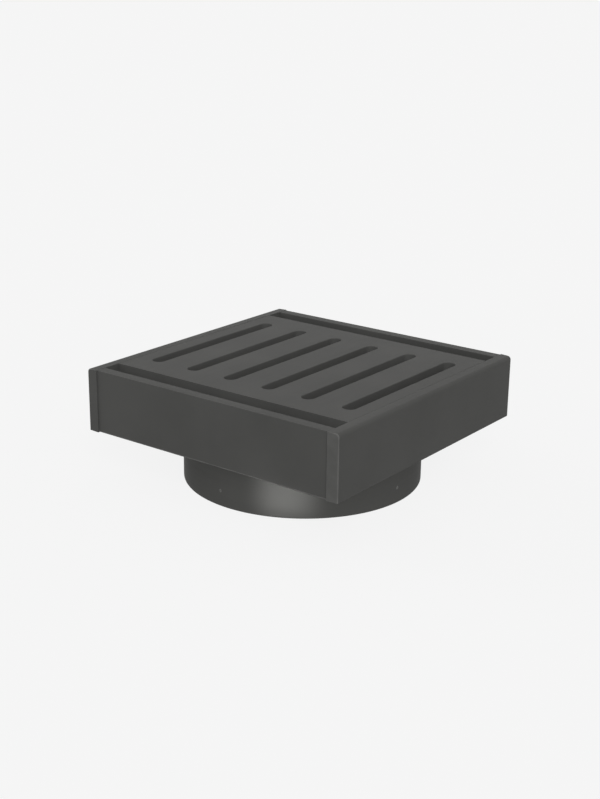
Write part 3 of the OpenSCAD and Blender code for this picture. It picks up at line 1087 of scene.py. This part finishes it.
@dataclass
class Studio:
    """The pale floor, the light and the camera."""

    backdrop: float = 0.913
    room_light: float = 0.4
    floor_reach: float = 14.0
    floor_glow: float = 0.862
    floor_seen: float = 0.075
    floor_bounce: float = 0.42
    azimuth: float = math.radians(36.98)
    elevation: float = math.radians(18.45)
    roll: float = math.radians(0.71)
    distance: float = 448.31 * MM
    aim_right: float = -1.25 * MM
    aim_up: float = -12.38 * MM
    lens_mm: float = 61.17
    sun_angle: float = math.radians(24.0)
    strip_spread: float = math.radians(3.0)
    strip_height: float = 8.0 * MM
    strip_aside: float = 5.0 * MM

    def build(self) -> None:
        """Sets up everything round the object."""
        self.camera()
        self.world()
        self.floor()
        self.sun("key", azimuth=43.0, elevation=32.0, strength=1.47)
        self.sun("rim", azimuth=-75.0, elevation=25.0, strength=0.45)
        self.low_strip(azimuth=22.8, distance=0.3, width=0.02, height=0.014, power=0.00078)
        bpy.context.scene.view_settings.view_transform = "Standard"

    @staticmethod
    def direction(azimuth: float, elevation: float) -> Vector:
        """Returns the unit vector towards an azimuth and elevation, in radians."""
        return Vector((math.sin(azimuth) * math.cos(elevation),
                       -math.cos(azimuth) * math.cos(elevation), math.sin(elevation)))

    def camera(self) -> None:
        """Places the camera on the object's upper face's centre, with its small roll."""
        back = self.direction(self.azimuth, self.elevation)
        right = Vector((math.cos(self.azimuth), math.sin(self.azimuth), 0.0))
        up = back.cross(right)
        side = right * math.cos(self.roll) + up * math.sin(self.roll)
        head = up * math.cos(self.roll) - right * math.sin(self.roll)
        target = Vector((0.0, 0.0, CAD_HIGH.z))
        place = target + side * self.aim_right + head * self.aim_up + back * self.distance
        data = bpy.data.cameras.new("camera")
        data.lens, data.sensor_width, data.sensor_fit = self.lens_mm, 36.0, "AUTO"
        data.clip_start, data.clip_end = 0.01, 100.0
        camera = bpy.data.objects.new("camera", data)
        camera.matrix_world = Matrix.Translation(place) @ Matrix((side, head, back)).transposed(
        ).to_4x4()
        bpy.context.scene.collection.objects.link(camera)
        bpy.context.scene.camera = camera

    @staticmethod
    def seen_directly(board: NodeBoard) -> NodeSocket:
        """Returns 1 for a ray that shows the background, whether straight or in a reflection."""
        path = board.add("ShaderNodeLightPath")
        total = board.math("ADD", path.outputs["Is Camera Ray"], path.outputs["Is Glossy Ray"])
        return board.math("ADD", total, path.outputs["Is Transmission Ray"], clamp=True)

    def world(self) -> None:
        """Lights the room evenly, behind a pale backdrop."""
        world = bpy.data.worlds.new("room")
        world.use_nodes = True
        bpy.context.scene.world = world
        board = NodeBoard(world.node_tree)
        nodes = board.tree.nodes
        nodes.clear()
        lit = board.add("ShaderNodeBackground")
        lit.inputs["Color"].default_value = (1, 1, 1, 1)
        lit.inputs["Strength"].default_value = self.room_light
        seen = board.add("ShaderNodeBackground")
        seen.inputs["Color"].default_value = (self.backdrop,) * 3 + (1,)
        seen.inputs["Strength"].default_value = 1.0
        either = board.add("ShaderNodeMixShader")
        board.feed(either.inputs[0], self.seen_directly(board))
        board.feed(either.inputs[1], lit.outputs[0])
        board.feed(either.inputs[2], seen.outputs[0])
        board.feed(board.add("ShaderNodeOutputWorld").inputs[0], either.outputs[0])

    def floor(self) -> None:
        """Lays the floor, which shows the backdrop's tone and keeps a soft shadow."""
        bm = bmesh.new()
        bmesh.ops.create_grid(bm, x_segments=1, y_segments=1, size=self.floor_reach)
        bmesh.ops.translate(bm, vec=(0, 0, CAD_LOW.z - 0.05 * MM), verts=bm.verts)
        mesh = bpy.data.meshes.new("studio_floor")
        bm.to_mesh(mesh)
        bm.free()
        material = bpy.data.materials.new("studio_floor")
        material.use_nodes = True
        board = NodeBoard(material.node_tree)
        nodes = board.tree.nodes
        nodes.clear()
        glow = board.add("ShaderNodeEmission")
        glow.inputs["Color"].default_value = (self.floor_glow,) * 3 + (1,)
        faint = board.add("ShaderNodeBsdfDiffuse")
        faint.inputs["Color"].default_value = (self.floor_seen,) * 3 + (1,)
        matt = board.add("ShaderNodeBsdfDiffuse")
        matt.inputs["Color"].default_value = (self.floor_bounce,) * 3 + (1,)
        shown = board.add("ShaderNodeAddShader")
        board.feed(shown.inputs[0], glow.outputs[0])
        board.feed(shown.inputs[1], faint.outputs[0])
        either = board.add("ShaderNodeMixShader")
        board.feed(either.inputs[0], self.seen_directly(board))
        board.feed(either.inputs[1], matt.outputs[0])
        board.feed(either.inputs[2], shown.outputs[0])
        board.feed(board.add("ShaderNodeOutputMaterial").inputs[0], either.outputs[0])
        mesh.materials.append(material)
        floor = bpy.data.objects.new("studio_floor", mesh)
        bpy.context.scene.collection.objects.link(floor)

    def low_strip(self, azimuth: float, distance: float, width: float, height: float,
                  power: float) -> None:
        """Stands a gridded strip light just above the floor, level with the spigot.

        Args:
            azimuth: Where it stands, in degrees, counted as the camera's azimuth is.
            distance: How far off it stands.
            width: Its width.
            height: Its height.
            power: Its power in watts.
        """
        back = self.direction(math.radians(azimuth), 0.0)
        data = bpy.data.lights.new("low_strip", "AREA")
        data.shape, data.size, data.size_y, data.energy = "RECTANGLE", width, height, power
        data.spread = self.strip_spread
        lamp = bpy.data.objects.new("low_strip", data)
        aside = Vector((math.cos(math.radians(azimuth)), math.sin(math.radians(azimuth)), 0.0))
        lamp.location = (back * distance + aside * self.strip_aside
                         + Vector((0.0, 0.0, CAD_LOW.z + self.strip_height)))
        lamp.rotation_euler = back.to_track_quat("Z", "Y").to_euler()
        lamp.visible_camera = False
        bpy.context.scene.collection.objects.link(lamp)

    def sun(self, name: str, azimuth: float, elevation: float, strength: float) -> None:
        """Hangs a broad, even light a long way off.

        Args:
            name: The lamp's name.
            azimuth: Where it hangs, in degrees, counted as the camera's azimuth is.
            elevation: How high it hangs, in degrees.
            strength: Its irradiance.
        """
        back = self.direction(math.radians(azimuth), math.radians(elevation))
        data = bpy.data.lights.new(name, "SUN")
        data.energy, data.angle = strength, self.sun_angle
        lamp = bpy.data.objects.new(name, data)
        lamp.rotation_euler = back.to_track_quat("Z", "Y").to_euler()
        bpy.context.scene.collection.objects.link(lamp)


def main() -> None:
    """Builds the drain and the studio round it."""
    logging.basicConfig(level=logging.INFO, format="%(name)s: %(message)s")
    Studio().build()
    shop = Workshop()
    for assembly in (FrameAssembly, Grate, Strainer, OdourSeal, Valve):
        assembly(shop).build()
        LOG.info("%s is done", assembly.__name__)


if __name__ == "__main__":
    main()
